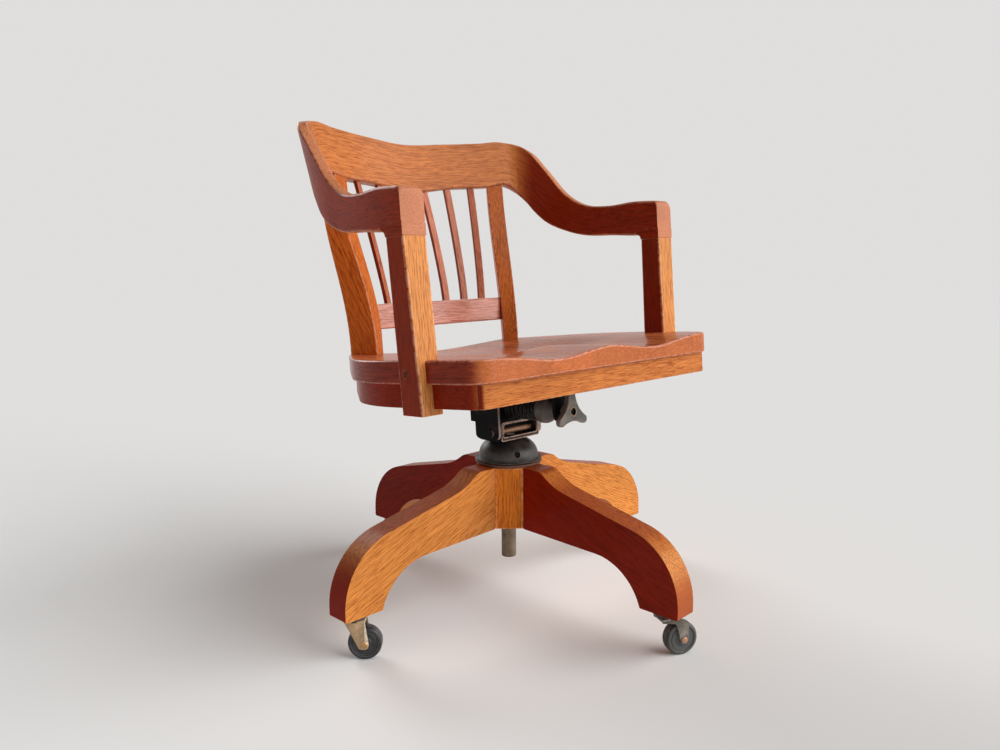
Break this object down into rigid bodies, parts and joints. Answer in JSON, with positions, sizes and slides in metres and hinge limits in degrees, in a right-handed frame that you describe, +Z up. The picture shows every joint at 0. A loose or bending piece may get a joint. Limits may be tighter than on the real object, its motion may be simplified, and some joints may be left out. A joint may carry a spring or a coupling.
{
  "type": "swivel chair",
  "caption": "Wooden swivel armchair with a saddled seat, slatted back, swept bow arms, a sprung iron tilt mechanism and a cross base on casters.",
  "frame": {"origin": "on the floor, on the upright swivel axis under the middle of the base", "axes": "+Z up along the swivel axis, -Y the way a sitter faces, +X to the sitter's left"},
  "size_m": [0.7158, 0.7158, 0.8122],
  "materials": {
    "oak_base": "warm orange-brown oak, semi-gloss varnish",
    "cast_iron": "dark graphite grey iron, worn brown at the edges",
    "worn_steel": "worn grey-brown steel",
    "oak_seat": "reddish-brown oak, semi-gloss varnish",
    "oak_frame": "golden-brown oak, semi-gloss varnish",
    "oak_bow": "orange-brown oak, semi-gloss varnish",
    "fork_steel": "tan paint on pressed steel, worn at the edges",
    "rubber": "dark grey rubber"
  },
  "bodies": {
    "base": {"hub_post": "oak_base", "hub_bush": "cast_iron", "base_plate": "cast_iron", "leg_left": "oak_base", "leg_front": "oak_base", "leg_right": "oak_base", "leg_back": "oak_base", "caster_socket_left": "worn_steel", "caster_socket_front": "worn_steel", "caster_socket_right": "worn_steel", "caster_socket_back": "worn_steel"},
    "caster_left": {"caster_fork_left": "fork_steel", "caster_axle_left": "worn_steel"},
    "wheel_left": {"caster_wheel_left": "rubber"},
    "caster_front": {"caster_fork_front": "fork_steel", "caster_axle_front": "worn_steel"},
    "wheel_front": {"caster_wheel_front": "rubber"},
    "caster_right": {"caster_fork_right": "fork_steel", "caster_axle_right": "worn_steel"},
    "wheel_right": {"caster_wheel_right": "rubber"},
    "caster_back": {"caster_fork_back": "fork_steel", "caster_axle_back": "worn_steel"},
    "wheel_back": {"caster_wheel_back": "rubber"},
    "hub_nut": {"hub_cap": "cast_iron", "set_screw": "worn_steel"},
    "column": {"spindle": "worn_steel", "tilt_yoke": "cast_iron", "window_plate": "worn_steel", "pivot_pin": "worn_steel", "tension_spring": "cast_iron"},
    "knob": {"tension_knob": "cast_iron", "tension_bolt": "worn_steel"},
    "seat": {"seat_iron": "cast_iron", "seat_screw_1": "worn_steel", "seat_screw_2": "worn_steel", "seat_screw_3": "worn_steel", "seat_screw_4": "worn_steel", "spring_cup": "cast_iron", "seat_board": "oak_seat", "apron_front": "oak_frame", "apron_left": "oak_frame", "apron_right": "oak_frame", "apron_back": "oak_frame", "crest_rail": "oak_bow", "arm_left": "oak_bow", "arm_right": "oak_bow", "arm_post_left": "oak_frame", "post_plug_left": "oak_seat", "arm_post_right": "oak_frame", "post_plug_right": "oak_seat", "back_post_left": "oak_frame", "back_post_right": "oak_frame", "lower_rail": "oak_frame", "slat_left_1": "oak_frame", "slat_right_1": "oak_frame", "slat_left_2": "oak_frame", "slat_right_2": "oak_frame", "slat_left_3": "oak_frame", "slat_right_3": "oak_frame"}
  },
  "joints": [
    {"name": "seat_swivel", "type": "hinge", "parent": "base", "child": "hub_nut", "pos_m": [0, 0, 0.25], "axis": [0, 0, 1], "continuous": true},
    {"name": "seat_height", "type": "slide", "parent": "hub_nut", "child": "column", "axis": [0, 0, 1], "range_m": [0, 0.075]},
    {"name": "seat_tilt", "type": "hinge", "parent": "column", "child": "seat", "pos_m": [0, -0.012, 0.297], "axis": [-1, 0, 0], "range_deg": [0, 16], "stiffness_Nm_per_rad": 140, "springref_deg": -8.59, "deforming": ["tension_spring"]},
    {"name": "tension_turn", "type": "hinge", "parent": "seat", "child": "knob", "pos_m": [0, -0.1432, 0.3456], "axis": [0, 0.9969, -0.0785], "continuous": true},
    {"name": "caster_swivel_left", "type": "hinge", "parent": "base", "child": "caster_left", "pos_m": [-0.32583, -0.01058, 0.08], "axis": [0, 0, 1], "continuous": true},
    {"name": "wheel_turn_left", "type": "hinge", "parent": "caster_left", "child": "wheel_left", "pos_m": [-0.31596, -0.01994, 0.025], "axis": [0.6884, 0.7254, 0], "continuous": true},
    {"name": "caster_swivel_front", "type": "hinge", "parent": "base", "child": "caster_front", "pos_m": [0.01058, -0.32583, 0.08], "axis": [0, 0, 1], "continuous": true},
    {"name": "wheel_turn_front", "type": "hinge", "parent": "caster_front", "child": "wheel_front", "pos_m": [0.031, -0.33505, 0.025], "axis": [0.4115, 0.9114, 0], "continuous": true},
    {"name": "caster_swivel_right", "type": "hinge", "parent": "base", "child": "caster_right", "pos_m": [0.32583, 0.01058, 0.08], "axis": [0, 0, 1], "continuous": true},
    {"name": "wheel_turn_right", "type": "hinge", "parent": "caster_right", "child": "wheel_right", "pos_m": [0.33383, -0.00328, 0.025], "axis": [0.866, 0.5, 0], "continuous": true},
    {"name": "caster_swivel_back", "type": "hinge", "parent": "base", "child": "caster_back", "pos_m": [-0.01058, 0.32583, 0.08], "axis": [0, 0, 1], "continuous": true},
    {"name": "wheel_turn_back", "type": "hinge", "parent": "caster_back", "child": "wheel_back", "pos_m": [-0.02444, 0.33383, 0.025], "axis": [-0.5, -0.866, 0], "continuous": true}
  ]
}
